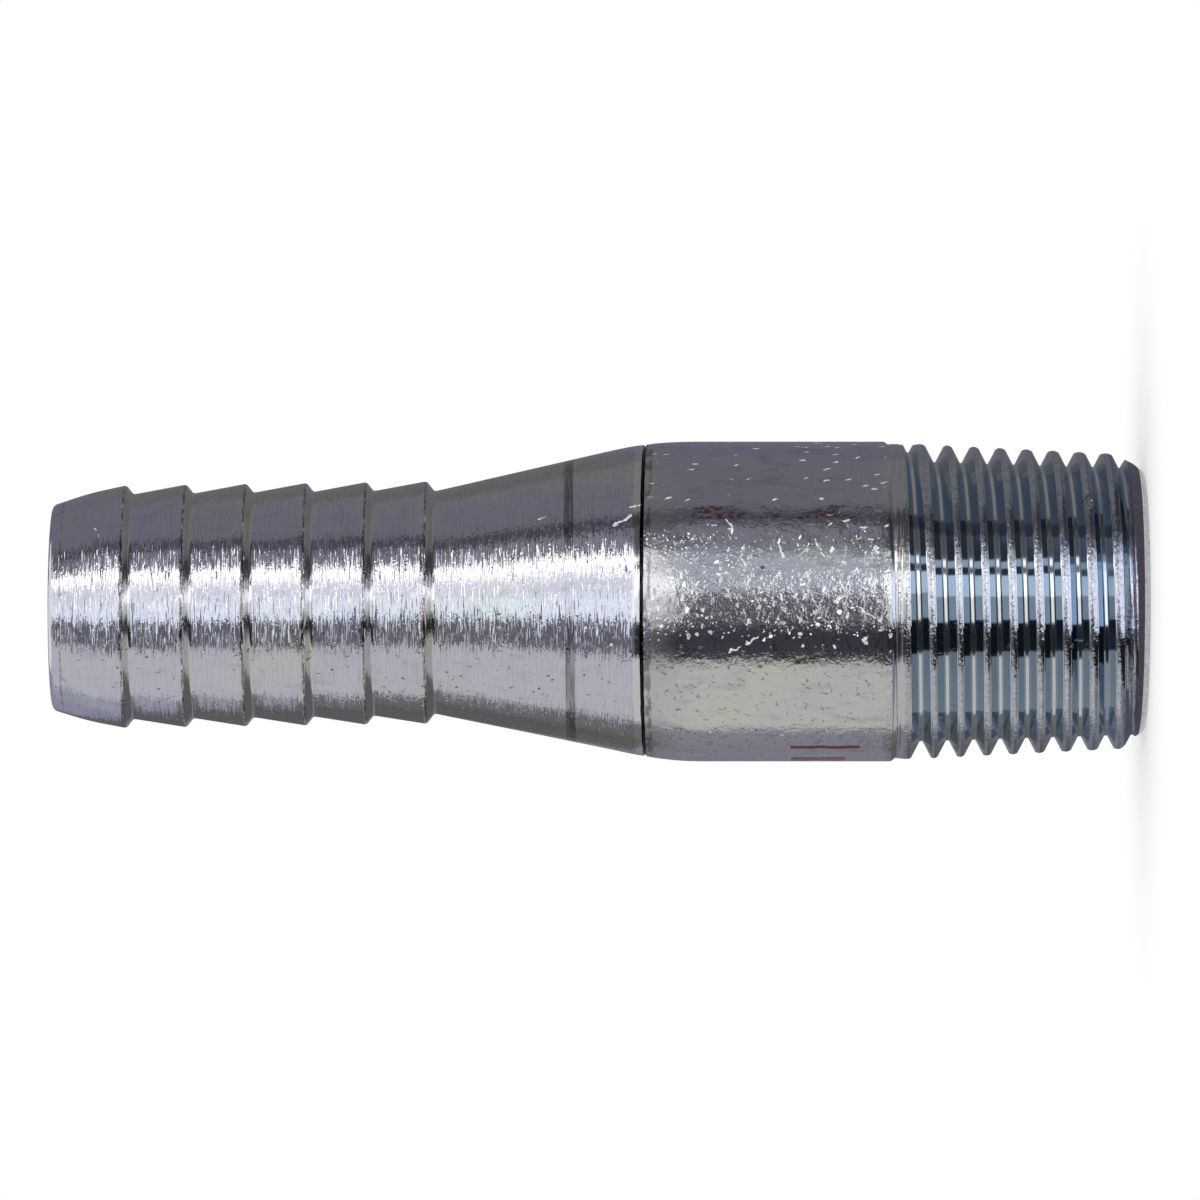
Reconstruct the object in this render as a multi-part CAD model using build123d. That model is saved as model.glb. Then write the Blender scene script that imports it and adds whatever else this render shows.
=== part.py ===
from build123d import *

import os
from math import ceil, cos, pi, radians, sin, tan

# Hose tail, turned from one length of steel tube: hose barbs at one end, a taper pipe thread at
# the other, raw tube between them. It stands on its threaded end. +Z points to the barbed end,
# and the origin is on the axis, in the plane of the threaded end's face. Millimetres and degrees.

# Thread: right-hand taper pipe thread, size 1/2
threads_per_inch = 14
thread_angle = 55.0
gauge_diameter = 20.955  # over the crests, in the gauge plane
gauge_height = 8.2  # of the gauge plane above the threaded end's face
thread_depth = 1.08  # in the gauge plane
root_taper = 1 / 16  # on diameter
crest_taper = 1 / 10  # on diameter: the crests are cut back more towards the small end
root_flat = 0.2
thread_length = 15.3  # of thread cut to its full depth
runout_turns = 1.0  # of thread that fades out above it

# Threaded end
end_chamfer_depth = 1.17  # from the crests down to the end face's edge, on radius
end_chamfer_angle = 38.0  # from the axis

# Tube, left raw between the thread and the swage
tube_stands_out = 0.5225  # beyond the gauge diameter, on radius
tube_wall = 3.1
body_length = 12.9  # from the step above the thread to where the swage starts

# Collar: the turned land between the thread and the raw tube
collar_cut = 0.16  # below the raw tube, on radius
collar_land = 0.3  # clear of the thread's run-out
step_angle = 36.0  # from the axis

# Swage: the tube drawn down to the tail
swage_round = 25.5
cone_half_angle = 12.2
bore_round = 8.0

# Seam: the step where the turning tool left the raw tube, cut a little out of true
seam_rise = 3.7  # above the top of the straight body
seam_width = 0.26
seam_depth = 0.15
seam_tilt = 1.9

# Barbs
barb_count = 6
barb_pitch = 4.13
barb_crest_diameter = 16.7
barb_depth = 0.625  # from crest to valley, on radius
barb_back_angle = 52.0  # of the steep flank, from the axis
crest_round = 0.3
undercut = 0.075  # of the cone's foot below the valleys, on radius

# Nose
nose_length = 5.05  # from the last crest to the end face
nose_drop = 1.32  # from the crests to the end face's edge, on radius
nose_crown = 0.15  # how far the lead-in ramp bows out from a straight one
nose_break = 0.3  # of the outer edge, equal both ways
nose_wall = 1.53
bore_break = 0.3  # both mouths of the bore

# The thread groove's cutter
cutter_stand_off = 0.4  # how far it reaches outside the crests
cutter_exit = 0.1  # how far its root has risen above the crests at the end of the run-out
cutter_points = 16  # along each edge of a half turn

thread_pitch = 25.4 / threads_per_inch
gauge_radius = gauge_diameter / 2
body_radius = gauge_radius + tube_stands_out
body_bore_radius = body_radius - tube_wall
collar_radius = body_radius - collar_cut
crest_radius = barb_crest_diameter / 2
root_radius = crest_radius - barb_depth
cone_root_radius = root_radius - undercut
nose_radius = crest_radius - nose_drop
tail_bore_radius = nose_radius - nose_wall

# Heights above the threaded end's face, in order
groove_foot_height = -thread_pitch
runout_height = thread_length + runout_turns * thread_pitch
step_height = runout_height + collar_land
body_foot_height = step_height + (body_radius - collar_radius) / tan(radians(step_angle))
swage_height = body_foot_height + body_length
seam_height = swage_height + seam_rise
cone_corner_height = swage_height + swage_round * tan(radians(cone_half_angle) / 2)


def cone_height(radius):
    """Height at which the swage's outer cone has this radius."""
    return cone_corner_height + (body_radius - radius) / tan(radians(cone_half_angle))


def back_run(from_radius):
    """Length along the axis of a barb's steep flank that starts at this radius."""
    return (crest_radius - from_radius) / tan(radians(barb_back_angle))


first_crest_height = cone_height(cone_root_radius) + back_run(cone_root_radius)
last_crest_height = first_crest_height + (barb_count - 1) * barb_pitch
top_height = last_crest_height + nose_length


def thread_crest_radius(height):
    return gauge_radius + (height - gauge_height) * crest_taper / 2


def thread_root_radius(height):
    return gauge_radius - thread_depth + (height - gauge_height) * root_taper / 2


def thread_end_outline():
    """Threaded end, chamfer, crest cone, collar and step, as (radius, height, rounding)."""
    end_face_radius = thread_crest_radius(0) - end_chamfer_depth
    chamfer_height = end_chamfer_depth / (tan(radians(end_chamfer_angle)) - crest_taper / 2)
    collar_height = gauge_height + (collar_radius - gauge_radius) / (crest_taper / 2)
    return [
        (body_bore_radius + bore_break, 0, 0),
        (end_face_radius, 0, 0),
        (thread_crest_radius(chamfer_height), chamfer_height, 0),
        (collar_radius, collar_height, 0),
        (collar_radius, step_height, 0),
        (body_radius, body_foot_height, 0),
    ]


def barb_outline():
    """Every barb, from the foot of its steep flank to its crest, as (radius, height, rounding)."""
    points = []
    for barb in range(barb_count):
        height = first_crest_height + barb * barb_pitch
        foot_radius = root_radius if barb else cone_root_radius
        points.append((foot_radius, height - back_run(foot_radius), 0))
        points.append((crest_radius, height, crest_round))
    return points


def nose_outline():
    """Lead-in ramp, which bows out a little, and the nose, as (radius, height, rounding)."""
    middle_radius = (crest_radius + nose_radius) / 2 + nose_crown
    half_run = (nose_length - nose_break) / 2
    turn = (middle_radius - nose_radius) / half_run - (crest_radius - middle_radius) / half_run
    ramp_round = 0.75 * half_run / (turn / 2)
    return [
        (middle_radius, last_crest_height + half_run, ramp_round),
        (nose_radius, top_height - nose_break, 0),
        (nose_radius - nose_break, top_height, 0),
        (tail_bore_radius + bore_break, top_height, 0),
    ]


def bore_outline():
    """The bore, from its narrow mouth down to its wide one, as (radius, height, rounding)."""
    return [
        (tail_bore_radius, top_height - bore_break, 0),
        (tail_bore_radius, cone_height(tail_bore_radius + tube_wall), bore_round),
        (body_bore_radius, cone_height(body_radius), bore_round),
        (body_bore_radius, bore_break, 0),
    ]


def blank():
    """The tail before its thread is cut: one outline turned about the axis."""
    swage_corner = [(body_radius, cone_corner_height, swage_round)]
    outline = thread_end_outline() + swage_corner + barb_outline() + nose_outline() + bore_outline()
    points = [(radius, 0, height) for radius, height, _ in outline]
    edges = FilletPolyline(*points, radius=[rounding for _, _, rounding in outline], close=True)
    return revolve(Face(Wire(edges.edges())), axis=Axis.Z)


def groove_point(turn, side, at_root):
    """A point on one edge of the thread's groove, this many turns up from the groove's start."""
    height = turn * thread_pitch + groove_foot_height
    flank_run = (thread_depth + cutter_stand_off) * tan(radians(thread_angle / 2))
    offset = side * (root_flat / 2 + (0 if at_root else flank_run))
    if at_root:
        faded = max(0.0, (height - thread_length) / (runout_height - thread_length))
        full_lift = thread_crest_radius(height) - thread_root_radius(height) + cutter_exit
        radius = thread_root_radius(height) + full_lift * faded**2 * (3 - 2 * faded)
    else:
        radius = thread_crest_radius(height) + cutter_stand_off
    # Full depth ends on the -X side
    angle = pi + 2 * pi * (height - thread_length) / thread_pitch
    return (radius * cos(angle), radius * sin(angle), height + offset)


def groove_segment(first_turn, last_turn):
    """A short stretch of the groove as a solid: four ruled sides and two flat ends."""
    lines = []
    for side, at_root in ((-1, True), (1, True), (1, False), (-1, False)):
        turns = [
            first_turn + (last_turn - first_turn) * step / cutter_points
            for step in range(cutter_points + 1)
        ]
        lines.append(Spline(*[groove_point(turn, side, at_root) for turn in turns]))
    pairs = zip(lines, lines[1:] + lines[:1])
    sides = [Face.make_surface_from_curves(one.edge(), other.edge()) for one, other in pairs]
    ends = [Face(Wire.make_polygon([line @ end for line in lines])) for end in (0, 1)]
    return Solid(Shell(sides + ends))


def thread_cutters():
    """The thread's groove, from below the end face to the end of the run-out, in half turns."""
    turns = (runout_height - groove_foot_height) / thread_pitch
    count = ceil(2 * turns)
    return [groove_segment(turns * i / count, turns * (i + 1) / count) for i in range(count)]


def seam_cutter():
    """A thin ring of triangular section, tilted to follow the tool's path."""
    surface_radius = body_radius - swage_round + (swage_round**2 - seam_rise**2) ** 0.5
    triangle = Polyline(
        (surface_radius - seam_depth, 0, 0),
        (surface_radius + seam_depth, 0, -seam_width),
        (surface_radius + seam_depth, 0, seam_width),
        close=True,
    )
    ring = revolve(Face(Wire(triangle.edges())), axis=Axis.Z)
    return Pos(0, 0, seam_height) * Rot(-seam_tilt, 0, 0) * ring


hose_tail = blank().cut(seam_cutter(), *thread_cutters())
solids = hose_tail.solids()
print("solids", len(solids), "valid", all(solid.is_valid for solid in solids))
print("overall length", round(top_height, 3), "last crest at", round(last_crest_height, 3))
print("swage starts at", round(swage_height, 3), "step at", round(step_height, 3))

os.makedirs("parts", exist_ok=True)
export_step(Compound(children=solids) if len(solids) > 1 else solids[0], "parts/hose_tail.step")
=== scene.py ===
# %% [markdown]
# # A zinc-plated hose tail
# The real object is one piece of steel tube. One end is drawn down and turned into hose barbs,
# the other end is cut with a taper pipe thread, and the stretch between them is left as raw tube.
# Everything is then plated with zinc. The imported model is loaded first: it fixes the size and
# the place of everything that follows.

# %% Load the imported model
from math import ceil, cos, pi, radians, sin, tan

import bpy
import numpy as np
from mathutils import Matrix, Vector


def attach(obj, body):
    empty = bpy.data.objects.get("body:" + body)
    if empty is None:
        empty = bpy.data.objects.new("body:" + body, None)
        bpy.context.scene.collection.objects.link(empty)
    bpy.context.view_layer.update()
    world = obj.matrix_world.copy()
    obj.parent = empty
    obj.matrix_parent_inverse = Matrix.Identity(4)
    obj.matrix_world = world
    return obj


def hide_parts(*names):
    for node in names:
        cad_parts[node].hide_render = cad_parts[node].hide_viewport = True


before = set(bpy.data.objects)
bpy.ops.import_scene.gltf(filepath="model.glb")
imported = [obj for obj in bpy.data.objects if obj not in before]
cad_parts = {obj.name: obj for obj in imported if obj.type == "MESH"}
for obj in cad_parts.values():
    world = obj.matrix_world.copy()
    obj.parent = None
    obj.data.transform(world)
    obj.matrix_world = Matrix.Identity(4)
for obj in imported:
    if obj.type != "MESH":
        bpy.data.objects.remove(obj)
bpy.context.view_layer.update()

MM = 0.001

# %% [markdown]
# ## One small class for node maths
# Both the shape and the finish are worked out by node trees. Wiring Math nodes by hand is long and
# hard to read, so a Signal wraps one output socket, and ordinary Python arithmetic on it adds the
# nodes. Any other node comes from its one method, `node`.

# %% Signals: sockets that can be added and multiplied


class Signal:
    """One output socket of a node tree. Arithmetic on it adds the Math nodes that do it."""

    def __init__(self, tree, socket):
        self.tree = tree
        self.socket = socket

    def node(self, kind, inputs=None, output=0, **settings):
        """Adds a node to the same tree: its settings first, then its sockets' values or links."""
        made = self.tree.nodes.new(kind)
        for name, value in settings.items():
            setattr(made, name, value)
        for name, value in (inputs or {}).items():
            if isinstance(value, Signal):
                self.tree.links.new(value.socket, made.inputs[name])
            else:
                made.inputs[name].default_value = value
        return Signal(self.tree, made.outputs[output])

    def out(self, name):
        """Another output of the node that this signal comes from."""
        return Signal(self.tree, self.socket.node.outputs[name])

    def maths(self, operation, *others):
        inputs = dict(enumerate((self, *others)))
        return self.node("ShaderNodeMath", inputs, operation=operation)

    def __add__(self, other):
        return self.maths("ADD", other)

    __radd__ = __add__

    def __sub__(self, other):
        return self.maths("SUBTRACT", other)

    def __rsub__(self, other):
        return self.maths("MULTIPLY", -1.0).maths("ADD", other)

    def __mul__(self, other):
        return self.maths("MULTIPLY", other)

    __rmul__ = __mul__

    def __truediv__(self, other):
        return self.maths("DIVIDE", other)

    def least(self, other):
        return self.maths("MINIMUM", other)

    def most(self, other):
        return self.maths("MAXIMUM", other)

    def step(self, low, high):
        """0 below low, 1 above high, and a smooth rise between. With high below low it falls."""
        inputs = {0: self, 1: low, 2: high, 3: 0.0, 4: 1.0}
        return self.node("ShaderNodeMapRange", inputs, interpolation_type="SMOOTHSTEP")

    def band(self, middle, half_width, soft):
        """1 within half_width of the middle, fading to 0 over soft."""
        return (self - middle).maths("ABSOLUTE").step(half_width + soft, half_width)


# %% [markdown]
# ## Driving sizes
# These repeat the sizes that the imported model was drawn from, in millimetres. Heights are measured
# along the axis from the threaded end's face, which is where the frame has its origin.

# %% Sizes of the tube, thread, swage and barbs
pitch = 25.4 / 14
thread_angle = 55.0
gauge_radius = 20.955 / 2
gauge_height = 8.2
thread_depth = 1.08
root_taper = 1 / 32  # on radius
crest_taper = 1 / 20  # on radius
root_half_width = 0.1
thread_length = 15.3
runout_height = thread_length + pitch

end_chamfer_depth = 1.17
chamfer_slope = tan(radians(38.0))
end_round = 0.15
body_radius = 11.0
body_length = 12.9
tube_wall = 3.1
body_bore_radius = body_radius - tube_wall
collar_cut = 0.16
collar_land = 0.3
collar_radius = body_radius - collar_cut
step_angle = radians(36.0)
step_round = 0.12
step_height = runout_height + collar_land
body_foot_height = step_height + collar_cut / tan(step_angle)
swage_height = body_foot_height + body_length
swage_round = 25.5
cone_half_angle = radians(12.2)
cone_corner_height = swage_height + swage_round * tan(cone_half_angle / 2)

barb_count = 6
barb_pitch = 4.13
barb_depth = 0.625
undercut = 0.075
crest_radius = 16.7 / 2
root_radius = crest_radius - barb_depth
cone_root_radius = root_radius - undercut
barb_back_slope = tan(radians(52.0))
crest_round = 0.3
valley_round = 0.25
nose_length = 5.05
nose_drop = 1.32
nose_radius = crest_radius - nose_drop
nose_crown = 0.15
nose_round = 0.45
nose_wall = 1.53
ramp_round = 18.0
tail_bore_radius = nose_radius - nose_wall
bore_break = 0.3
bore_round = 8.0
edge_round = 0.05


def cone_height(radius):
    """Height at which the swage's outer cone has this radius."""
    return cone_corner_height + (body_radius - radius) / tan(cone_half_angle)


first_crest_height = cone_height(cone_root_radius) + (crest_radius - cone_root_radius) / barb_back_slope
top_height = first_crest_height + (barb_count - 1) * barb_pitch + nose_length

# %% [markdown]
# ## The section
# A turned part is easiest to give as half of its section: a chain of corners, each with its own
# rounding. The chain is opened into short straight steps, so that turning it round the axis gives
# even faces. Arcs get more steps than straight runs, because light shows every facet on bright
# metal.

# %% Turn a chain of corners into closely spaced points
arc_step = radians(14.0)
least_arc_steps = 3
least_turn = 0.001


def rounded_outline(corners, longest_run):
    """Points along (radius, height, rounding) corners, with arcs and evenly divided runs."""
    knots = [np.array(corners[0][:2])]
    for before, corner, after in zip(corners, corners[1:], corners[2:]):
        here = np.array(corner[:2])
        back = np.array(before[:2]) - here
        ahead = np.array(after[:2]) - here
        back /= np.linalg.norm(back)
        ahead /= np.linalg.norm(ahead)
        half_turn = (pi - np.arccos(np.clip(back @ ahead, -1, 1))) / 2
        rounding = corner[2]
        if rounding == 0 or half_turn < least_turn:
            knots.append(here)
            continue
        middle = back + ahead
        centre = here + middle / np.linalg.norm(middle) * rounding / cos(half_turn)
        start = here + back * rounding * tan(half_turn) - centre
        turn = np.sign(start[0] * back[1] - start[1] * back[0]) * -2 * half_turn
        count = ceil(2 * half_turn * max(1 / arc_step, rounding / longest_run))
        count = max(count, least_arc_steps)
        for k in range(count + 1):
            a = turn * k / count
            spun = (start[0] * cos(a) - start[1] * sin(a), start[0] * sin(a) + start[1] * cos(a))
            knots.append(centre + spun)
    knots.append(np.array(corners[-1][:2]))
    points = [knots[0]]
    for start, end in zip(knots, knots[1:]):
        count = max(1, ceil(np.linalg.norm(end - start) / longest_run))
        points += [start + (end - start) * k / count for k in range(1, count + 1)]
    return points


# %% The corners, from the collar up the outside, over the nose and down the bore
def barb_corners():
    """Each barb's valley and crest."""
    corners = []
    for barb in range(barb_count):
        height = first_crest_height + barb * barb_pitch
        foot = root_radius if barb else cone_root_radius
        rise = (crest_radius - foot) / barb_back_slope
        corners += [(foot, height - rise, valley_round), (crest_radius, height, crest_round)]
    return corners


def nose_corners():
    """The last ramp, which bows out a little, and the rounded edge of the end."""
    middle = (crest_radius + nose_radius) / 2 + nose_crown
    return [
        (middle, top_height - nose_length / 2, ramp_round),
        (nose_radius, top_height, nose_round),
        (tail_bore_radius + bore_break, top_height, edge_round),
    ]


def bore_corners():
    """The bore, from its narrow mouth down to the wide one."""
    return [
        (tail_bore_radius, top_height - bore_break, edge_round),
        (tail_bore_radius, cone_height(tail_bore_radius + tube_wall), bore_round),
        (body_bore_radius, cone_height(body_radius), bore_round),
        (body_bore_radius, bore_break, edge_round),
        (body_bore_radius + bore_break, 0, edge_round),
    ]


outside = [
    (collar_radius, step_height, edge_round),
    (body_radius, body_foot_height, step_round),
    (body_radius, cone_corner_height, swage_round),
]
end_radius = gauge_radius - gauge_height * crest_taper - end_chamfer_depth
print("radius at the threaded end's face, mm:", round(end_radius, 3))

# %% [markdown]
# ## Rows for the thread
# A thread is a groove that climbs as it goes round. If the mesh has plain rings there, its edges
# cut across the groove and every crest looks chewed. So each row of points climbs one pitch in a
# turn, and ends where the row one pitch above it began. The two ends of the thread are squared off
# by rows that open like a fan, from nothing to one full pitch.

# %% List the rows: radius, height, climb in one turn, and 1 for a row of the thread
rows_per_pitch = 12
clear_of_step = 0.06
fan = pitch / rows_per_pitch
thread_foot = thread_length - pitch * 0.5 + fan * 0.5
thread_foot -= fan * int((thread_foot - end_round) / fan)
lead_rows = int((step_height - clear_of_step - thread_foot) / fan) - rows_per_pitch
thread_top = thread_foot + (lead_rows + rows_per_pitch) * fan

rows = []
for k in range(rows_per_pitch):
    rows.append((0, thread_foot, k * fan, 1))
for k in range(lead_rows):
    rows.append((0, thread_foot + k * fan, pitch, 1))
for k in range(rows_per_pitch + 1):
    rows.append((0, thread_foot + (lead_rows + k) * fan, pitch - k * fan, 1))

plain = rounded_outline(
    [(collar_radius, thread_top, 0)]
    + outside
    + barb_corners()
    + nose_corners()
    + bore_corners()
    + [(end_radius, 0, end_round), (end_radius + thread_foot * chamfer_slope, thread_foot, 0)],
    longest_run=0.62,
)
print("rows in the thread:", len(rows), "rows in the plain turning:", len(plain) - 1)

# %% [markdown]
# ## The seam and what is out of true
# The turning tool stopped part way down the swage and left a thin step, which isn't quite
# square to the axis; the finish paints it dark, as painted shade in the step. The step above the
# thread isn't square either, and the drawn-down tail points a little to one side. Each of these is a
# small number that goes with a row, so that the mesh stays a clean grid.

# %% Cut the seam into the section, and say how each row leans
seam_rise = 3.7
seam_height = swage_height + seam_rise
seam_half_width = 0.12
seam_depth = 0.12
seam_drop = 0.02  # of its edges below the surface
seam_slope = tan(radians(1.9))
seam_near, seam_reach = 0.4, 2.6  # rows lean in full up to the first, and not at all past the second
step_near, step_reach = 0.5, 2.5
step_slope = 0.021
tail_slope = tan(radians(0.79))
tail_pivot = 43.9
tail_bend = 7.0  # the length over which the lean of the tail sets in


def with_seam(points):
    """The same points, with five more where the seam crosses the outside."""
    made = []
    for start, end in zip(points, points[1:]):
        made.append(start)
        for share in (-1.0, -0.4, 0.0, 0.4, 1.0):
            height = seam_height + share * seam_half_width
            if start[1] < height <= end[1] and start[0] > crest_radius:
                point = start + (end - start) * (height - start[1]) / (end[1] - start[1])
                point[0] -= seam_depth * (1 - abs(share)) + seam_drop
                made.append(point)
    return made + [points[-1]]


for radius, height in with_seam(plain)[1:]:
    rows.append((radius, height, 0, 0))


def smooth(value, low, high):
    """0 up to low, 1 past high, and a smooth rise between."""
    share = np.clip((value - low) / (high - low), 0, 1)
    return share * share * (3 - 2 * share)


radius, height, climb, threaded = np.array(rows).T
face_rows = 3  # from the highest row over the nose's flat face to the bore's mouth
bore_rows = slice(int(np.argmax(height)) + face_rows, None)
bore_margin = 0.05
mouth_margin = 0.1
narrow = radius[bore_rows] < body_bore_radius + bore_margin
below_mouth = height[bore_rows] < top_height - mouth_margin
inside = np.zeros(len(rows))
inside[bore_rows] = narrow & below_mouth
near_seam = 1 - smooth(np.abs(height - seam_height), seam_near, seam_reach)
near_step = 1 - smooth(np.abs(height - step_height), step_near, step_reach)
near_step *= 1 - threaded
outer = 1 - inside
lean_x = step_slope * near_step * outer
lean_y = -seam_slope * near_seam * outer
bent = smooth(height, swage_height, swage_height + tail_bend)
shift = -tail_slope * (height - tail_pivot) * bent

section_mesh = bpy.data.meshes.new("section")
section_mesh.from_pydata(
    [(r * MM, 0, h * MM) for r, h in zip(radius, height)],
    [(k, k + 1) for k in range(len(rows) - 1)],
    [],
)
for name, values in {
    "climb": climb * MM,
    "threaded": threaded,
    "lean_x": lean_x,
    "lean_y": lean_y,
    "shift": shift * MM,
    "inside": inside,
}.items():
    section_mesh.attributes.new(name, "FLOAT", "POINT").data.foreach_set("value", values)
print("rows in all:", len(rows), "of them in the bore:", int(inside.sum()))

# %% [markdown]
# ## Turning the section and cutting the thread
# Spin would turn the section, but it can't make rows that climb. Geometry Nodes can: a grid has one
# column for each step round the axis, every point looks up its own row of the section, and the
# thread is then one formula.

# %% Build the turning tree
tree = bpy.data.node_groups.new("turn_and_thread", "GeometryNodeTree")
tree_inputs = {
    "Section": "NodeSocketGeometry",
    "Columns": "NodeSocketInt",
    "Pitch": "NodeSocketFloat",
    "Thread Length": "NodeSocketFloat",
    "Run-out Height": "NodeSocketFloat",
    "Gauge Radius": "NodeSocketFloat",
    "Gauge Height": "NodeSocketFloat",
    "Thread Depth": "NodeSocketFloat",
    "Root Half Width": "NodeSocketFloat",
    "End Radius": "NodeSocketFloat",
    "Collar Radius": "NodeSocketFloat",
    "Finish": "NodeSocketMaterial",
}
for name, kind in tree_inputs.items():
    tree.interface.new_socket(name, in_out="INPUT", socket_type=kind)
tree.interface.new_socket("Tail", in_out="OUTPUT", socket_type="NodeSocketGeometry")

section = Signal(tree, tree.nodes.new("NodeGroupInput").outputs["Section"])
columns = section.out("Columns")
row_count = section.node("GeometryNodeAttributeDomainSize", {"Geometry": section}, component="MESH")
grid = section.node(
    "GeometryNodeMeshGrid",
    {"Size X": 1.0, "Size Y": 1.0, "Vertices X": columns + 1, "Vertices Y": row_count},
)
index = section.node("GeometryNodeInputIndex")
column = (index / row_count).maths("FLOOR")
row = index - column * row_count
turn = column / columns
angle = turn * (2 * pi)


def look_up(kind, value):
    """The section's value at this point's row."""
    inputs = {"Geometry": section, "Value": value, "Index": row}
    return section.node("GeometryNodeSampleIndex", inputs, data_type=kind, domain="POINT")


def row_value(name):
    """The number that was stored with this point's row."""
    named = section.node("GeometryNodeInputNamedAttribute", {"Name": name}, data_type="FLOAT")
    return look_up("FLOAT", named)


place = look_up("FLOAT_VECTOR", section.node("GeometryNodeInputPosition"))
place = section.node("ShaderNodeSeparateXYZ", {0: place})
plain_radius = place.out("X")
level = place.out("Z") + row_value("climb") * turn
threaded_here = row_value("threaded")

# %% [markdown]
# ## The groove as a formula
# On the real part a pointed tool follows the turning tube, one pitch in a turn, and its flanks are
# straight. phase says how far a point is from the middle of the groove, in pitches. The cut is then
# the lower of two lines over that distance: the flank, which rises from the root, and the crest. At
# the last turn the root rises to the crests, so the groove fades out.

# %% The groove's middle, its root and the crests
half_flank = tan(radians(thread_angle / 2))
above_crests = 0.05 * MM  # how far the root has risen at the end of the run-out
lead = section.out("Pitch")
full_length = section.out("Thread Length")
depth_at_gauge = section.out("Thread Depth")
gauge = section.out("Gauge Radius")
phase = (level - full_length) / lead - turn + 0.5
phase = phase - phase.maths("ROUND")
groove_level = level - phase * lead
above_gauge = level - section.out("Gauge Height")
chamfer_line = section.out("End Radius") + level * chamfer_slope
crest_line = (gauge + above_gauge * crest_taper).least(chamfer_line).least(section.out("Collar Radius"))
faded = groove_level.step(full_length, section.out("Run-out Height"))
root_line = gauge - depth_at_gauge + above_gauge * root_taper
root_line = root_line + faded * (crest_line - root_line + above_crests)
groove_depth = (crest_line - root_line).most(0.0)
root_half = section.out("Root Half Width")
crest_edge = root_half + groove_depth * half_flank

# %% Move the rows to where the groove turns
# Each row sits at a fixed share of the pitch, and the stops say where that share should be.
share = phase.maths("ABSOLUTE")
edge_bevel = 0.045 * MM
foot_bevel = 0.08 * MM
least_flank = 0.12 * MM
stops = [
    (0.0, root_half * 0.0),
    (0.5 / rows_per_pitch, root_half * 0.5),
    (1.5 / rows_per_pitch, root_half),
    (2.5 / rows_per_pitch, root_half + foot_bevel),
    (3.5 / rows_per_pitch, (crest_edge - edge_bevel).most(root_half + least_flank)),
    (4.5 / rows_per_pitch, crest_edge + 1.3 * edge_bevel),
    (0.5, lead * 0.5),
]
wanted = stops[-1][1]
for (low, near), (high, far) in list(zip(stops, stops[1:]))[::-1]:
    stretch = ((share - low) / (high - low)).most(0.0).least(1.0)
    reached = near + (far - near) * stretch
    wanted = reached if high == 0.5 else wanted + (reached - wanted) * share.maths("LESS_THAN", high)
cut_level = groove_level + wanted * phase.maths("SIGN")

# At the foot the rows stay level, so that none of them dips below the end face
settled = (level - thread_foot * MM).step(0.0, pitch * MM) * threaded_here
final_level = level + (cut_level - level) * settled

# %% Cut: flank or crest, whichever is lower
crest_crown = 0.07 * MM
across = (final_level - groove_level).maths("ABSOLUTE")
flank_line = root_line + (across - root_half).most(0.0) / half_flank
off_middle = ((lead * 0.5 - across) / (lead * 0.5 - crest_edge)).most(0.0).least(1.0)
crowned_line = crest_line - off_middle * off_middle * crest_crown
cut_radius = flank_line.least(crowned_line)

# One crest was struck: a small diamond where it is flattened and spread
nick_angle = radians(311.3)
nick_turns_down = 7
nick_height = thread_length + pitch * (nick_angle / (2 * pi) - nick_turns_down)
nick_half_height = 0.5
nick_half_width = 0.8
nick_depth = 0.1 * MM
up_from_nick = (final_level - nick_height * MM).maths("ABSOLUTE") / nick_half_height
round_from_nick = ((angle - nick_angle) * (gauge_radius * MM)).maths("ABSOLUTE") / nick_half_width
nick = (up_from_nick + round_from_nick).step(1.0 * MM, 0.75 * MM)
cut_radius = cut_radius + (crest_line - nick_depth - cut_radius) * nick
final_radius = plain_radius + (cut_radius - plain_radius) * threaded_here
on_crest = (across - crest_edge).step(-0.03 * MM, 0.03 * MM) * threaded_here
in_root = (across - root_half).step(0.05 * MM, 0.0) * threaded_here
in_root = in_root * groove_depth.step(0.2 * MM, 0.5 * MM)

# %% Place the points, close the seams, mark sharp edges
same_point = 0.0002 * MM
sharp_angle = radians(32.0)
flat_x = final_radius * angle.maths("COSINE")
flat_y = final_radius * angle.maths("SINE")
upright = final_level + flat_x * row_value("lean_x") + flat_y * row_value("lean_y")
final_place = section.node(
    "ShaderNodeCombineXYZ", {"X": flat_x + row_value("shift"), "Y": flat_y, "Z": upright}
)
shape = section.node("GeometryNodeSetPosition", {"Geometry": grid, "Position": final_place})
on_crest = on_crest.most(nick)
for name, value in (("crest", on_crest), ("root", in_root), ("inside", row_value("inside"))):
    inputs = {"Geometry": shape, "Name": name, "Value": value}
    shape = section.node("GeometryNodeStoreNamedAttribute", inputs, data_type="FLOAT", domain="POINT")
shape = section.node("GeometryNodeMergeByDistance", {"Geometry": shape, "Distance": same_point})
shape = section.node("GeometryNodeFlipFaces", {"Mesh": shape})
shape = section.node("GeometryNodeSetShadeSmooth", {"Geometry": shape, "Shade Smooth": True})
sharp = section.node("GeometryNodeInputMeshEdgeAngle").maths("GREATER_THAN", sharp_angle)
inputs = {"Geometry": shape, "Selection": sharp, "Shade Smooth": False}
shape = section.node("GeometryNodeSetShadeSmooth", inputs, domain="EDGE")
shape = section.node("GeometryNodeRealizeInstances", {"Geometry": shape})
shape = section.node(
    "GeometryNodeSetMaterial", {"Geometry": shape, "Material": section.out("Finish")}
)
output = tree.nodes.new("NodeGroupOutput")
tree.links.new(shape.socket, output.inputs["Tail"])
print("nodes in the turning tree:", len(tree.nodes))

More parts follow.
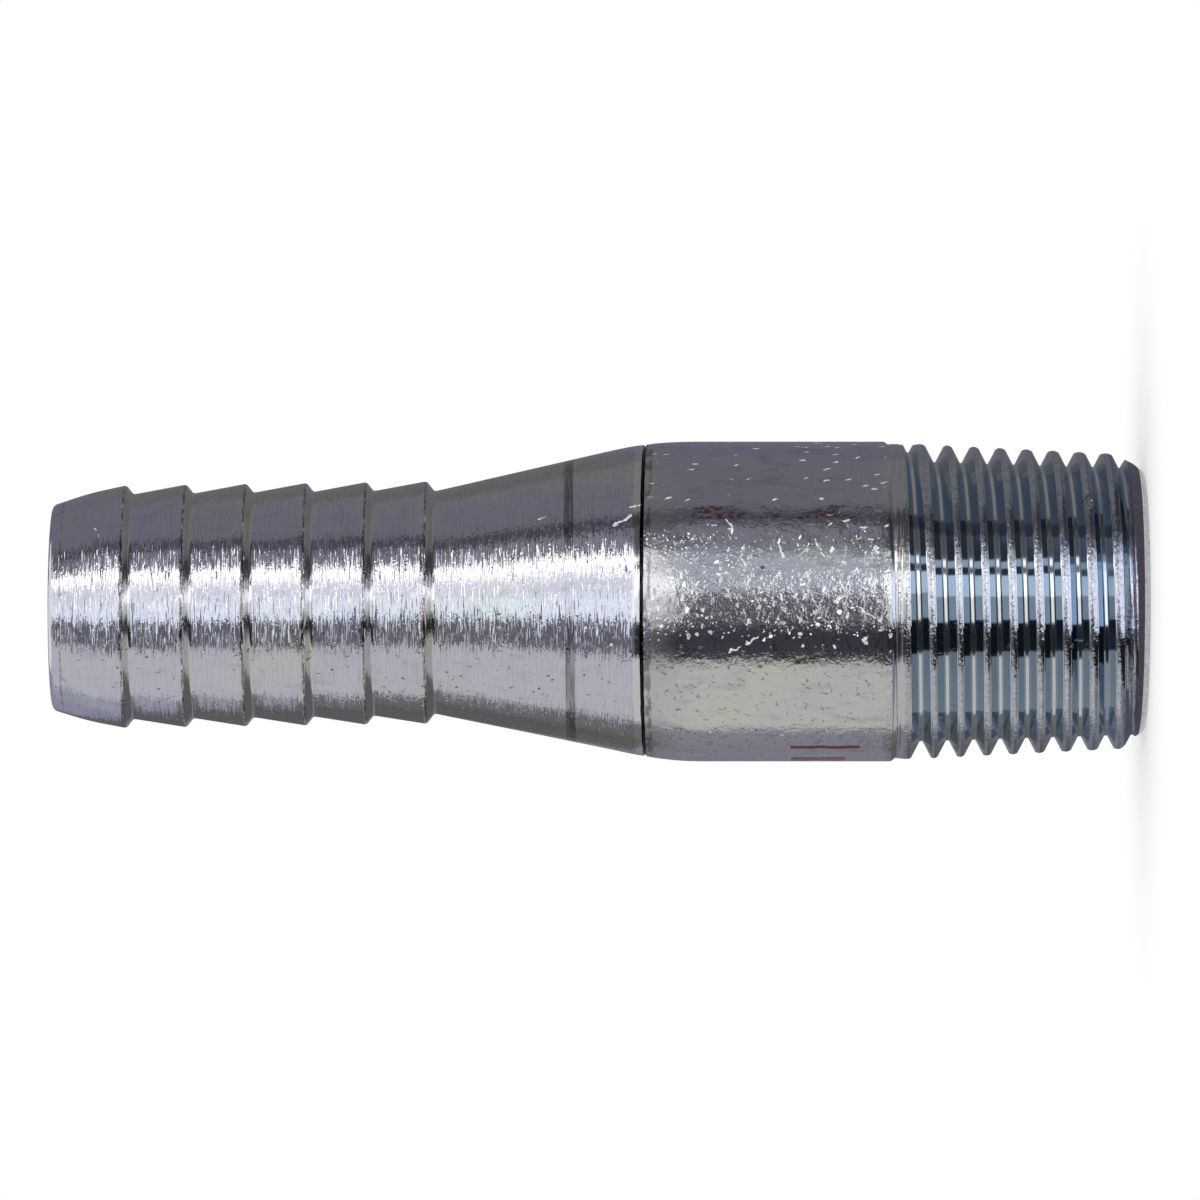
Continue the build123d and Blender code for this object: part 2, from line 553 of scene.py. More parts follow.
# %% [markdown]
# ## The finish
# Bright zinc is a mirror with a grain. Where the lathe cut, fine rings run round the part. The raw
# tube is pitted and scratched, and the zinc only follows it. The thread was cut last and is
# smoothest on its flanks, with torn crests. One material does all of this: masks made from the
# height along the axis and from the thread's own attributes choose between the finishes.

# %% Start the material and find the place on the part, in millimetres
zinc = bpy.data.materials.new("bright_zinc_plating")
zinc.use_nodes = True
nodes = zinc.node_tree.nodes
shader = nodes["Principled BSDF"]
spot = Signal(zinc.node_tree, nodes.new("ShaderNodeTexCoord").outputs["Object"])
spot = spot.node("ShaderNodeVectorMath", {0: spot, "Scale": 1 / MM}, operation="SCALE")
x = spot.node("ShaderNodeSeparateXYZ", {0: spot})
y = x.out("Y")
z = x.out("Z")


def vector_maths(operation, first, second):
    """Vector arithmetic. A plain Math node would keep only one number of a vector."""
    return spot.node("ShaderNodeVectorMath", {0: first, 1: second}, operation=operation)


def scaled(vector, factor):
    """A vector times one number."""
    return spot.node("ShaderNodeVectorMath", {0: vector, "Scale": factor}, operation="SCALE")


def noise(stretch, detail=2.0, roughness=0.5, seed=0.0):
    """Noise from 0 to 1. stretch is how many features fit in a millimetre along each axis."""
    moved = vector_maths("ADD", vector_maths("MULTIPLY", spot, stretch), (seed, seed, seed))
    inputs = {"Vector": moved, "Scale": 1.0, "Detail": detail, "Roughness": roughness}
    return spot.node("ShaderNodeTexNoise", inputs)


def any_way(found, amount):
    """A vector that points any way, from the colour of a noise or of a cell, scaled by amount."""
    return scaled(vector_maths("SUBTRACT", found.out("Color"), (0.5, 0.5, 0.5)), amount)


def blend(mask, plain_colour, masked_colour):
    """The masked colour where the mask is 1, and the plain one where it is 0."""
    inputs = {0: mask, 6: plain_colour, 7: masked_colour}
    return spot.node("ShaderNodeMix", inputs, 2, data_type="RGBA")


def highest(masks):
    """At each place, the greatest of several masks."""
    greatest = masks[0]
    for mask in masks[1:]:
        greatest = greatest.most(mask)
    return greatest


# %% Masks: which finish is where
collar_foot = 16.68
chamfer_top = 1.2


def attribute(name):
    """A number that the turning tree stored on the mesh."""
    return spot.node("ShaderNodeAttribute", {}, "Fac", attribute_name=name)


ragged = noise((1.2, 1.2, 1.2), 3.0, seed=3.0) - 0.5
seam_here = seam_height - y * seam_slope + ragged * 0.12
turned = (z - seam_here).step(-0.03, 0.05)
step_here = body_foot_height + x * step_slope
raw = (z - step_here).step(-0.05, 0.05) * (1 - turned)
threading = z.step(collar_foot + 0.08, collar_foot - 0.08)
collar = (1 - threading) * (1 - raw) * (1 - turned)
crest = attribute("crest").step(0.45, 0.85) * threading
root = attribute("root").step(0.8, 1.0) * threading
bore = attribute("inside")
chamfer = z.step(chamfer_top + 0.15, chamfer_top) * (1 - bore)
front = y.step(0.0, -1.0)
print("nodes for the masks:", len(nodes))

# %% [markdown]
# ## Lathe rings
# A lathe leaves rings too fine to model and too fine for a bump map to carry. What the eye sees is
# that each ring tips the light a little. So the shading normal is tipped directly: round the part
# by one noise and along it by another, both drawn out into rings. Torn metal tips it any way.

# %% The lathe's rings and grain, on the tail and the swage
rings_fine = noise((0.12, 0.12, 13.0), 2.0, 0.6)
rings_broken = noise((0.55, 0.55, 15.0), 2.0, 0.6, seed=5.0)
rings_wide = noise((0.10, 0.10, 2.6), 2.0, seed=11.0)
rings_dark = noise((0.5, 0.5, 14.0), 2.0, 0.6, seed=17.0).step(0.46, 0.72)
rings_deep = noise((0.7, 0.7, 15.0), 2.0, 0.6, seed=67.0)
rings_deep = rings_deep.step(0.56, 0.68) - rings_deep.step(0.44, 0.32)
grain = noise((8.0, 8.0, 8.0), 1.0, seed=23.0)
grain_here = noise((2.6, 2.6, 2.6), 2.0, 0.6, seed=29.0).step(0.5, 0.68)

from_crest = (z - first_crest_height) / barb_pitch
from_crest = (from_crest - from_crest.maths("ROUND").most(0.0).least(barb_count - 1.0)) * barb_pitch
steep_flank = from_crest.band(-0.38, 0.2, 0.08)
polished_rim_and_sheen = (z - seam_here).band(0.36, 0.2, 0.12)
lathed = turned * (1 - 0.8 * steep_flank) * (1 - 0.75 * polished_rim_and_sheen) * (1 - bore)
combed = (x - 0.2).band(0.0, 2.7, 1.6) * 0.75 + 0.25
collar_ring_pitch = 0.42
collar_rings = (z * (2 * pi / collar_ring_pitch)).maths("SINE") * collar
print("nodes with the rings:", len(nodes))

# %% [markdown]
# ## Flecks, pits and specks
# The raw tube has small bright flecks, where its skin was scuffed, and dark pits and specks. The
# flecks are also painted pale and are densest in the band where the highlight falls: in part they
# are painted glints. The marks could be painted on an image, but an image blurs close up and shows
# where it joins. Voronoi cells scatter points instead: stretched cells give strokes, the distance to
# the point gives the size, and each cell's own random colour decides whether it has a fleck at all.

# %% Lay the surface out flat, as if it were unrolled
unrolled = spot.node(
    "ShaderNodeCombineXYZ", {"X": x.maths("ARCTAN2", y * -1.0) * body_radius, "Y": z, "Z": 0.0}
)
wobble = any_way(noise((1.7, 1.7, 1.7), 2.0, seed=7.0), 0.6)
unrolled = vector_maths("ADD", unrolled, wobble)


def cells(width, length, slant, seed):
    """Distance to the nearest of scattered points, one in each cell of this size in millimetres."""
    inputs = {"Vector": unrolled, "Rotation": (0.0, 0.0, radians(slant)), "Location": (seed, seed, 0.0)}
    laid = spot.node("ShaderNodeMapping", inputs)
    laid = vector_maths("MULTIPLY", laid, (1 / width, 1 / length, 1.0))
    inputs = {"Vector": laid, "Scale": 1.0, "Randomness": 1.0}
    return spot.node("ShaderNodeTexVoronoi", inputs, "Distance", voronoi_dimensions="2D")


# %% Where each kind of mark is dense: bright flecks round the middle, where the highlight falls, dashes to one side
clustered = noise((0.3, 0.3, 0.3), 2.0, seed=15.0).step(0.38, 0.56)
# Painted glints: these bands, where the flecks are densest, lie where the highlight falls on the front.
wear_and_glints = x.band(1.4, 2.9, 1.2) * 0.5
scuffed = x.step(3.2, 5.0) * (0.45 * clustered + 0.55 * z.step(25.5, 23.0))
dust_and_glints = x.band(0.9, 2.8, 1.2) * clustered * 0.5
sparkling = z.band(32.3, 1.4, 2.4) * x.band(3.6, 0.6, 0.7) * front

# Cells, size of the fleck within its cell, how far it leans, and the share of cells that have one
torn_off_and_glints = (
    (cells(2.4, 0.80, 14.0, 31.0), 0.12, 0.9, wear_and_glints * 0.9),
    (cells(1.9, 0.60, -24.0, 57.0), 0.10, 0.9, wear_and_glints),
    (cells(0.95, 0.80, 0.0, 83.0), 0.19, 1.0, x.band(0.4, 3.2, 0.8) * 0.4),
    (cells(0.34, 0.27, 20.0, 111.0), 0.24, 0.8, dust_and_glints.most(sparkling)),
)


def kept(found, density):
    """1 on the share of the cells that density names, chosen by each cell's own random colour."""
    lot = spot.node("ShaderNodeSeparateXYZ", {0: found.out("Color")}).out("Z")
    return (density - lot).step(-0.03, 0.03)


# Each fleck has its own lean, so the flecks don't all flash together
fleck_and_glint_masks = []
tips = []
for found, size, amount, density in torn_off_and_glints:
    mask = found.step(size, size * 0.65) * kept(found, density) * (raw + 0.35 * collar)
    fleck_and_glint_masks.append(mask)
    tips.append(any_way(found, mask * amount))
flecks_and_glints = highest(fleck_and_glint_masks)
dashes = cells(0.8, 2.6, -14.0, 2.0)
dashes = dashes.step(0.10, 0.06) * kept(dashes, scuffed * 0.8) * raw
glints = noise((1.1, 1.1, 1.1), 1.0, seed=9.0).step(0.3, 0.65)
pits = cells(2.3, 2.0, 30.0, 139.0).step(0.06, 0.035).most(cells(1.2, 3.4, -25.0, 163.0).step(0.05, 0.03))
pits = pits * noise((0.3, 0.3, 0.3), seed=19.0).step(0.45, 0.6) * x.step(-1.0, -3.0)
specks = cells(0.55, 2.6, 26.0, 187.0).step(0.085, 0.055)
specks = specks.most(cells(2.2, 0.6, 18.0, 211.0).step(0.075, 0.045))
specks = specks * noise((0.5, 0.5, 0.5), seed=43.0).step(0.34, 0.5) * x.step(-2.0, -4.0)
print("nodes with the flecks:", len(nodes))

# %% [markdown]
# ## Scratches
# A few scratches are long enough to be looked for one by one. Each is a line between two places: the
# distance from a point to the nearest place on the line is a dot product and a subtraction, and a
# little noise on the point itself keeps the line from looking ruled.

# %% Scratches: single lines between two places, on the side towards the camera
flat = vector_maths("ADD", spot.node("ShaderNodeCombineXYZ", {"X": z, "Y": x, "Z": 0.0}), wobble)


def scratch(start, end, half_width):
    """A line between two places, each given as its height and its X, in millimetres."""
    run = (end[0] - start[0], end[1] - start[1], 0.0)
    offset = vector_maths("SUBTRACT", flat, (*start, 0.0))
    along = spot.node("ShaderNodeVectorMath", {0: offset, 1: run}, "Value", operation="DOT_PRODUCT")
    inputs = {0: along, 1: 1 / (run[0] ** 2 + run[1] ** 2)}
    share = spot.node("ShaderNodeMath", inputs, operation="MULTIPLY", use_clamp=True)
    inputs = {0: offset, 1: scaled(run, share)}
    beside = spot.node("ShaderNodeVectorMath", inputs, "Value", operation="DISTANCE")
    return beside.step(half_width * 1.1, half_width * 0.6)


# Start and end, each as (height, X), and half of the width
bright_scratches = (
    ((36.55, 5.06), (35.25, 5.81), 0.09),
    ((35.29, 6.38), (34.51, 6.65), 0.07),
    ((41.64, 5.63), (41.04, 5.85), 0.05),
    ((36.76, -3.06), (36.52, -2.84), 0.07),
    ((38.41, -1.62), (38.35, -2.03), 0.05),
    ((41.64, -1.82), (41.16, -1.62), 0.04),
    ((28.64, -3.47), (27.40, -2.86), 0.05),
    ((27.40, -2.86), (26.23, -1.96), 0.07),
    ((30.09, 5.24), (29.33, 5.12), 0.06),
    ((28.78, 5.50), (28.32, 4.95), 0.06),
    ((20.48, 0.10), (18.83, -1.23), 0.06),
    ((27.90, 3.40), (27.55, 2.40), 0.07),
    ((25.30, 4.18), (24.90, 2.97), 0.08),
    ((22.90, 4.18), (22.14, 2.97), 0.07),
    ((4.32, 7.05), (4.05, 7.05), 0.05),
    ((4.05, 7.05), (3.90, 6.85), 0.05),
    ((71.98, 5.06), (71.57, 4.64), 0.04),
    ((71.57, 4.64), (71.29, 3.61), 0.03),
)
dark_scratches = (
    ((41.03, -6.50), (39.80, -5.78), 0.03),
    ((39.80, -5.78), (39.13, -5.74), 0.03),
    ((17.22, 0.62), (16.70, 0.50), 0.05),
    ((16.70, 0.50), (16.28, -0.10), 0.05),
)
scored = highest([scratch(*line) for line in bright_scratches])
scored = scored * front * noise((2.0, 2.0, 2.0), seed=37.0).step(0.25, 0.45)
scored = scored.most(dashes)
grimed = highest([scratch(*line) for line in dark_scratches]) * front
print("scratches:", len(bright_scratches), "bright and", len(dark_scratches), "dark")

# %% Tip the normal
surface_normal = spot.node("ShaderNodeNewGeometry", output="Normal")
around = spot.node("ShaderNodeCombineXYZ", {"X": y * -1.0, "Y": x, "Z": 0.0})
around = spot.node("ShaderNodeVectorMath", {0: around}, operation="NORMALIZE")
tip_around = (rings_broken - 0.5) * 0.22 + rings_deep * 0.24
tip_around = tip_around * combed * (lathed + 0.3 * collar)
tip_along = (rings_fine - 0.5) * 0.22 * (lathed + 0.8 * collar) + collar_rings * 0.2 + flecks_and_glints * 0.28
along = spot.node("ShaderNodeCombineXYZ", {"X": 0.0, "Y": 0.0, "Z": tip_along})
torn_crest = crest.most(chamfer)
tips.append(scaled(around, tip_around))
tips.append(along)
tips.append(any_way(grain, lathed * (0.1 + 0.6 * grain_here) + 0.45 * torn_crest + 0.08 * raw))
tipped = surface_normal
for tip in tips:
    tipped = vector_maths("ADD", tipped, tip)
tipped = spot.node("ShaderNodeVectorMath", {0: tipped}, operation="NORMALIZE")

# %% [markdown]
# ## Colour
# Zinc is nearly white, and what looks dark on it is mostly what it reflects. So the colours stay close
# together, with a cold tint in the thread. Only the marks depart from them: brown in pits and
# specks, pale where the surface was torn and as painted glints in the flecks, pale painted
# highlights along the thread's roots, brown and pale bits along torn crests, and a darker bore.

# %% Colours of the plating
bright_zinc = (0.66, 0.66, 0.70, 1.0)
raw_zinc = (0.62, 0.62, 0.64, 1.0)
slate_zinc = (0.55, 0.61, 0.67, 1.0)
torn_zinc = (0.56, 0.56, 0.59, 1.0)
pale_zinc = (0.92, 0.93, 0.92, 1.0)
darker_bore = (0.30, 0.30, 0.31, 1.0)
dark_line = (0.03, 0.03, 0.035, 1.0)
brown_line = (0.12, 0.085, 0.07, 1.0)
yellow_tint = (0.67, 0.69, 0.58, 1.0)
red_mark = (0.09, 0.010, 0.006, 1.0)
rust = (0.24, 0.055, 0.05, 1.0)

tint = noise((0.16, 0.16, 0.12), 2.0, seed=41.0).step(0.5, 0.72)
colour = blend(turned, raw_zinc, bright_zinc)
colour = blend(tint * 0.5, colour, yellow_tint)
blotched = noise((1.3, 1.3, 0.45), 3.0, 0.6, seed=87.0).step(0.5, 0.7) * (raw + 0.5 * turned)
colour = blend(blotched * 0.2, colour, brown_line)
colour = blend(threading, colour, slate_zinc)
# Painted highlight: the thread's roots are painted pale, so that they show as thin bright lines.
colour = blend(root * 0.4, colour, pale_zinc)
torn = noise((3.6, 3.6, 3.6), 3.0, 0.6, seed=51.0)
colour = blend(torn_crest, colour, torn_zinc)
colour = blend(torn.step(0.56, 0.66) * torn_crest * 0.3, colour, brown_line)
colour = blend(torn.step(0.44, 0.34) * torn_crest * 0.35, colour, pale_zinc)
colour = blend(rings_dark * lathed * 0.16, colour, dark_line)
colour = blend(pits * (turned + raw * 0.6) * 0.75, colour, brown_line)
colour = blend(specks * raw * 0.8, colour, brown_line)
# Painted glints: the flecks are painted pale, partly for real scuffs and partly for the glints they give.
colour = blend(flecks_and_glints * 0.8, colour, pale_zinc)
colour = blend(scored * 0.9, colour, pale_zinc)
colour = blend(grimed * 0.8, colour, dark_line)

# %% [markdown]
# ## Lines
# The seam's step is painted as the darkest line: painted shade. Beside it a polished rim is painted
# paler: painted sheen. A smear goes round the swage, painted fainter where the highlight falls on
# the front, and each barb has a thin line at its edge, broken by noise into brown bits of painted
# shade and pale bits of painted glints. Two red strokes and a rusty band run along the raw tube.

# %% Lines: the seam's painted shade, the barbs' edges, a smear round the swage, and two red strokes
seam_step_shade = (z - seam_here).band(0.0, 0.115, 0.035)
stained = (z - seam_here).band(-0.34, 0.2, 0.12) * noise((0.9, 0.9, 2.5), 3.0, seed=47.0).step(0.4, 0.6)
# Painted sheen: the polished rim beside the seam is painted paler.
colour = blend(polished_rim_and_sheen * 0.4, colour, pale_zinc)
colour = blend(stained * 0.6, colour, brown_line)
# Painted shade: the seam's step is painted near black, as the shade that falls in it.
colour = blend(seam_step_shade * 0.97, colour, dark_line)

nose_line_height = 74.19
nose_line = (z - nose_line_height).band(0.0, 0.03, 0.05) * 0.7
# Painted shade and glints: a thin line at each barb's edge and on the nose, brown bits for shade and pale
# bits for glints.
edge_shade_and_glints = from_crest.band(0.03, 0.05, 0.05).most(nose_line) * turned * (1 - bore)
broken = noise((1.6, 1.6, 5.0), 3.0, 0.7, seed=53.0)
colour = blend(edge_shade_and_glints * broken.step(0.42, 0.52) * 0.75, colour, brown_line)
colour = blend(edge_shade_and_glints * broken.step(0.40, 0.34) * 0.8, colour, pale_zinc)

smear_height = 39.45
streaky = noise((0.5, 0.5, 8.0), 3.0, seed=61.0).step(0.3, 0.65)
# Painted highlight: the smear is real dirt, but is painted fainter in the band on the front where the
# highlight falls.
faint_where_lit = 1 - 0.8 * x.band(1.4, 1.9, 1.2) * front
smear = (z - x * 0.01).band(smear_height, 0.27, 0.1) * (0.5 + 0.5 * streaky) * faint_where_lit
colour = blend(smear * 0.75, colour, brown_line)

near_side = 9.0  # how far out towards a stroke's own side a place has to be to carry it


def stroke_along(low, high, around_at, half_width):
    """A mark along the axis, from low to high, on the side of the tube at this angle."""
    beside = y * cos(around_at) - x * sin(around_at) + ragged * 0.5
    facing = (x * cos(around_at) + y * sin(around_at)).step(near_side, near_side + 0.5)
    lengthwise = z.band((low + high) / 2, (high - low) / 2, 0.3)
    return beside.band(0.0, half_width, 0.08) * facing * lengthwise


patchy = noise((2.0, 2.0, 0.7), seed=71.0).step(0.18, 0.3)
red = stroke_along(19.7, 24.3, radians(-154.8), 0.22)
red = red.most(stroke_along(20.6, 24.2, radians(-169.5), 0.7)) * patchy
rusty = stroke_along(19.0, 31.0, radians(-56.5), 0.5)
rusty = rusty * noise((0.8, 0.8, 0.35), seed=73.0).step(0.42, 0.6)
rusty = rusty * noise((5.0, 5.0, 2.5), seed=79.0).step(0.35, 0.6)
colour = blend(rusty * 0.8, colour, rust)
colour = blend(red, colour, red_mark)
# The bore is painted darker than the outside.
colour = blend(bore, colour, darker_bore)

# %% [markdown]
# ## Roughness and relief
# Roughness says how much a reflection is smeared. Bright zinc needs little, the scratches and the
# bore more. The raw tube's skin is uneven in a way that is too shallow to model, so a Bump node
# tips the light there. Flecks, scratches and red paint are also made less metallic, so that they
# show their own colour in any light; on the flecks that pale colour is in part a painted glint.

# %% How rough each finish is, and its fine relief
duller_from, duller_by = 31.0, 33.5  # the raw tube is duller towards the swage
relief_depth = 0.03 * MM
roughness = 0.11 * turned + 0.12 * raw + 0.14 * collar + threading * 0.055
roughness = roughness + 0.1 * torn_crest + 0.05 * root + 0.05 * flecks_and_glints + 0.35 * scored + 0.4 * bore
roughness = roughness + (rings_wide - 0.5) * 0.1 * turned
roughness = roughness + z.step(duller_from, duller_by) * raw * 0.12
# Painted glints: where the glints noise says, flecks lose their metal and show their pale colour.
metallic = 1 - 0.6 * flecks_and_glints * glints - 0.6 * scored - 0.9 * red
skin = noise((1.0, 1.0, 1.0), 4.0, 0.6, seed=21.0)
grit = noise((3.6, 3.6, 3.6), 2.0, 0.6, seed=31.0)
relief = (skin * 1.5 + grit * 0.3) * raw + grit * 0.3 * collar + flecks_and_glints * 0.3
relief = relief + (torn * 0.8 + grit * 0.6) * torn_crest - pits * 0.4 + scored * 0.4
bump = spot.node(
    "ShaderNodeBump", {"Height": relief, "Strength": 1.0, "Distance": relief_depth, "Normal": tipped}
)
for name, signal in {
    "Base Color": colour,
    "Metallic": metallic.most(0.05),
    "Roughness": roughness.most(0.04).least(0.9),
    "Normal": bump,
}.items():
    zinc.node_tree.links.new(signal.socket, shader.inputs[name])
print("nodes in the plating:", len(nodes))

# %% [markdown]
# ## From the tree to a mesh
# The tree is put on the section as a modifier, with its sizes as inputs, in metres. Its result is
# then copied into a plain mesh, which is the one piece that stands for the solid.

# %% Run the tree and keep its result as a plain mesh
turning = bpy.data.objects.new("turning", section_mesh)
bpy.context.collection.objects.link(turning)
modifier = turning.modifiers.new("turn_and_thread", "NODES")
modifier.node_group = tree
values = {
    "Columns": 216,
    "Pitch": pitch * MM,
    "Thread Length": thread_length * MM,
    "Run-out Height": runout_height * MM,
    "Gauge Radius": gauge_radius * MM,
    "Gauge Height": gauge_height * MM,
    "Thread Depth": thread_depth * MM,
    "Root Half Width": root_half_width * MM,
    "End Radius": end_radius * MM,
    "Collar Radius": collar_radius * MM,
    "Finish": zinc,
}
for item in tree.interface.items_tree:
    if item.name in values:
        modifier[item.identifier] = values[item.name]
bpy.context.view_layer.update()
evaluated = turning.evaluated_get(bpy.context.evaluated_depsgraph_get())
tail_mesh = bpy.data.meshes.new_from_object(evaluated)
bpy.data.objects.remove(turning)
tail_mesh.name = "plated_tail"
plated_tail = bpy.data.objects.new("plated_tail", tail_mesh)
bpy.context.collection.objects.link(plated_tail)
triangles = sum(len(face.vertices) - 2 for face in tail_mesh.polygons)
print("triangles:", triangles, "points:", len(tail_mesh.vertices))

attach(plated_tail, "root")
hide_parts("hose_tail")

# %% [markdown]
# ## The studio
# A bright metal shows what stands round it, so the studio is what gives it its bands: a long soft
# box a little to one side of the camera, a dark gap beside it, a pale card, and dark cards further
# round. They are seen by the metal and not by the camera.

# %% A pale floor, whiter further from the part
white_from, white_by = 0.0115, 0.03
least_white = 0.5
floor_mesh = bpy.data.meshes.new("floor")
floor_reach = 3.0
corners = [(-1, -1), (1, -1), (1, 1), (-1, 1)]
floor_mesh.from_pydata([(a * floor_reach, b * floor_reach, 0) for a, b in corners], [], [(0, 1, 2, 3)])
floor = bpy.data.objects.new("floor", floor_mesh)
bpy.context.collection.objects.link(floor)

paper = bpy.data.materials.new("pale_floor")
paper.use_nodes = True
paper_nodes = paper.node_tree.nodes
paper_nodes.remove(paper_nodes["Principled BSDF"])
here = Signal(paper.node_tree, paper_nodes.new("ShaderNodeTexCoord").outputs["Object"])
distance = here.node("ShaderNodeVectorMath", {0: here}, "Value", operation="LENGTH")
matt = here.node("ShaderNodeBsdfDiffuse", {"Color": (0.97, 0.97, 0.97, 1.0)})
white = here.node("ShaderNodeEmission", {"Color": (1.0, 1.0, 1.0, 1.0), "Strength": 1.0})
rays = here.node("ShaderNodeLightPath")
seen = rays.out("Is Camera Ray").most(rays.out("Is Glossy Ray")).most(rays.out("Is Transmission Ray"))
far = (distance.step(white_from, white_by) * (1 - least_white) + least_white) * seen
surface = here.node("ShaderNodeMixShader", {0: far, 1: matt, 2: white})
paper.node_tree.links.new(surface.socket, paper_nodes["Material Output"].inputs["Surface"])
floor_mesh.materials.append(paper)
print("the floor is fully white from", white_by / MM, "mm out")

# %% The world: white all round, at the level where a colour renders as it is written
world = bpy.data.worlds.new("studio")
bpy.context.scene.world = world
world.use_nodes = True
air = world.node_tree.nodes["Background"]
air.inputs["Color"].default_value = (1.0, 1.0, 1.0, 1.0)

# %% [markdown]
# ## Cards that only reflections see
# Each part of the outline leans its own way, so it looks at its own part of the studio: the straight
# tube at the lowest cards, the thread's crests a little higher and at the far floor, the barbs and the
# cone at the high cards, and the thread's steep flanks at the floor close by. A strip gives each of
# them its own light.

# %% Helpers for cards: meshes that glow, and that only the metal sees
card_distance = 0.3
card_top = 0.45
body_reach = 0.06
thread_reach = 0.12
floor_split = 0.028
part_edge = 0.0113
under_part = 0.009
above_floor = 0.0004
degrees_per_face = 5


def glowing(name, points, faces, colour, strength):
    """A mesh that gives an even light, seen only in reflections."""
    mesh = bpy.data.meshes.new(name)
    mesh.from_pydata(points, [], faces)
    made = bpy.data.objects.new(name, mesh)
    bpy.context.collection.objects.link(made)
    glow = bpy.data.materials.new(name)
    glow.use_nodes = True
    own = glow.node_tree
    light = own.nodes.new("ShaderNodeEmission")
    light.inputs["Color"].default_value = (*colour, 1.0)
    light.inputs["Strength"].default_value = strength
    own.nodes.remove(own.nodes["Principled BSDF"])
    own.links.new(light.outputs[0], own.nodes["Material Output"].inputs["Surface"])
    mesh.materials.append(glow)
    made.visible_camera = False
    made.visible_diffuse = False
    made.visible_shadow = False


def card(name, start, end, light, low=None, high=None, inner=None, outer=None):
    """A curved card from one angle to another, upright from low to high, or on the floor."""
    count = ceil((end - start) / degrees_per_face)
    around = [radians(start + (end - start) * k / count) for k in range(count + 1)]
    if inner is None:
        edges = [(card_distance, low), (card_distance, high)]
    else:
        edges = [(inner, above_floor), (outer, above_floor)]
    points = [(reach * sin(a), -reach * cos(a), height) for reach, height in edges for a in around]
    faces = [(k, k + 1, k + count + 2, k + count + 1) for k in range(count)]
    glowing(name, points, faces, *light)


def strip(name, start, end, body_light, thread_light, barb_light, flank_light):
    """One strip of the studio. Each level of the part sees its own height of card and floor."""
    card(name + "_low", start, end, body_light, low=0.0, high=body_reach)
    card(name + "_middle", start, end, thread_light, low=body_reach, high=thread_reach)
    card(name + "_high", start, end, barb_light, low=thread_reach, high=card_top)
    card(name + "_floor", start, end, thread_light, inner=floor_split, outer=card_distance)
    card(name + "_near_floor", start, end, flank_light, inner=part_edge, outer=floor_split)


# %% The strips, from one side round the camera to the other: 0 is the camera, 90 is +X
lilac = (0.84, 0.81, 1.0)
ash = (0.84, 0.85, 1.0)
violet = (0.76, 0.75, 1.0)
blue = (0.76, 0.83, 1.0)
slate = (0.62, 0.72, 0.9)
pearl = (0.93, 0.93, 1.0)
pale_blue = (0.84, 0.90, 1.0)
cream = (1.0, 1.01, 0.95)
neutral = (1.0, 1.0, 1.0)
strip("back_high", 125, 180, (violet, 0.23), (neutral, 0.17), (violet, 0.24), (slate, 0.18))
strip("side_high", 68, 125, (lilac, 0.23), (neutral, 0.22), (lilac, 0.24), (slate, 0.18))
strip("gap_high", 56, 68, (lilac, 0.13), (neutral, 0.05), (lilac, 0.10), (slate, 0.05))
strip("shade_high", 38, 56, (lilac, 0.34), (neutral, 0.09), (lilac, 0.34), (slate, 0.08))
strip("lamp_edge", 33, 38, (blue, 0.50), (neutral, 0.09), (neutral, 1.8), (slate, 0.1))
strip("lamp", 27, 33, (blue, 0.62), (neutral, 1.3), (neutral, 2.8), (slate, 0.4))
strip("lamp_side", 21, 27, (blue, 0.68), (neutral, 0.10), (pearl, 1.7), (blue, 1.2))
strip("soft_box", 8, 21, (blue, 0.56), (neutral, 2.0), (pearl, 1.0), (blue, 1.5))
strip("soft_edge", 4, 8, (violet, 0.36), (neutral, 2.0), (pearl, 1.0), (blue, 1.5))
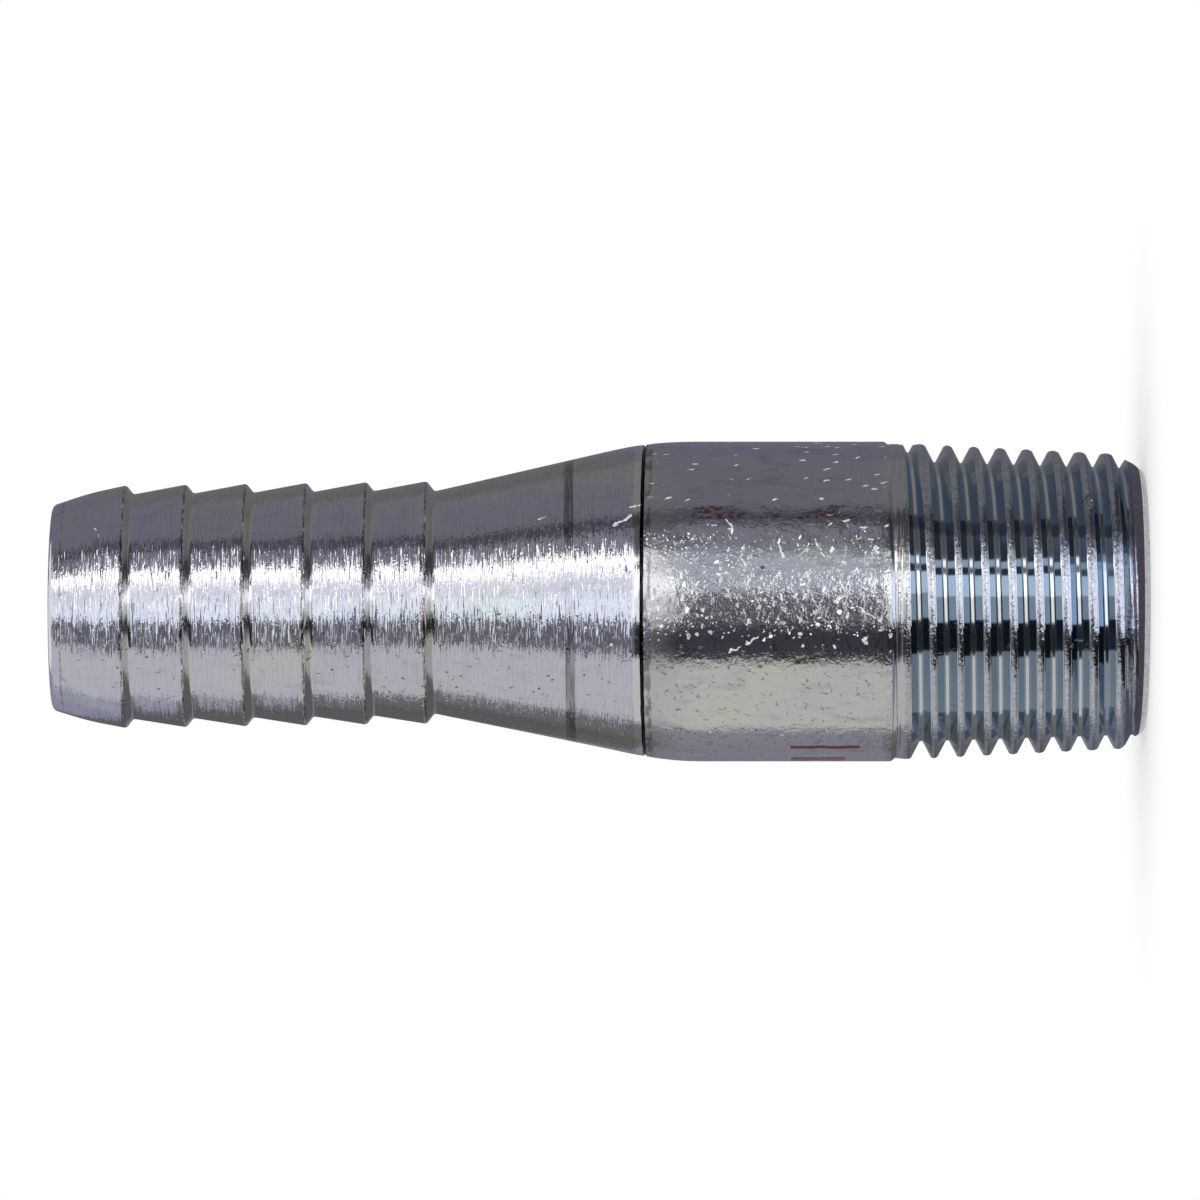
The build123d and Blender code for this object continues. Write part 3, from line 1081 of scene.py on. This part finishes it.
strip("second_box", -16, 4, (violet, 0.13), (neutral, 0.95), (pale_blue, 1.35), (blue, 1.5))
strip("gap_low", -43, -16, (violet, 0.08), (neutral, 0.02), (lilac, 0.20), (slate, 0.02))
strip("pale_card", -104, -43, (cream, 0.67), (neutral, 0.60), (pearl, 0.68), (slate, 0.40))
strip("pale_edge", -125, -104, (ash, 0.37), (neutral, 0.18), (ash, 0.52), (slate, 0.26))
strip("side_low", -150, -125, (ash, 0.33), (neutral, 0.14), (violet, 0.46), (slate, 0.26))
strip("back_low", -180, -150, (ash, 0.28), (neutral, 0.13), (violet, 0.38), (slate, 0.26))
card("under_the_edge", -180, 180, (lilac, 0.12), inner=under_part, outer=part_edge)

# %% [markdown]
# ## The camera
# A long lens from far off keeps the barbs and the thread in one scale, with hardly any perspective.
# The part stands upright on the floor, so it is the camera that lies on its side.

# %% The camera, far off, with a long lens, lying on its side
pixels = 1200
foot_at = 1143.3  # where the threaded end's face falls, in pixels from the left edge
axis_at = 601.5  # where the axis falls, in pixels from the top edge
pixel = 0.0688 * MM
pixels_away = 9500
camera_distance = pixels_away * pixel
aim_height = (foot_at - pixels / 2) * pixel
aim_side = (axis_at - pixels / 2) * pixel
camera_data = bpy.data.cameras.new("camera")
camera_data.sensor_width = 36.0
camera_data.lens = camera_data.sensor_width * camera_distance / (pixels * pixel)
camera_data.clip_start = 0.05
camera = bpy.data.objects.new("camera", camera_data)
bpy.context.collection.objects.link(camera)
right, up, back = Vector((0, 0, -1)), Vector((1, 0, 0)), Vector((0, -1, 0))
matrix = camera.matrix_world.to_3x3()
for column_number, direction in enumerate((right, up, back)):
    matrix.col[column_number] = direction
camera.matrix_world = matrix.to_4x4()
camera.location = (aim_side, -camera_distance, aim_height)
bpy.context.scene.camera = camera
bpy.context.scene.view_settings.view_transform = "Standard"
print("lens, mm:", round(camera_data.lens, 1))

# %% [markdown]
# ## The last update
# The view layer is updated once more, after the last object was placed.

# %% Update the view layer
bpy.context.view_layer.update()
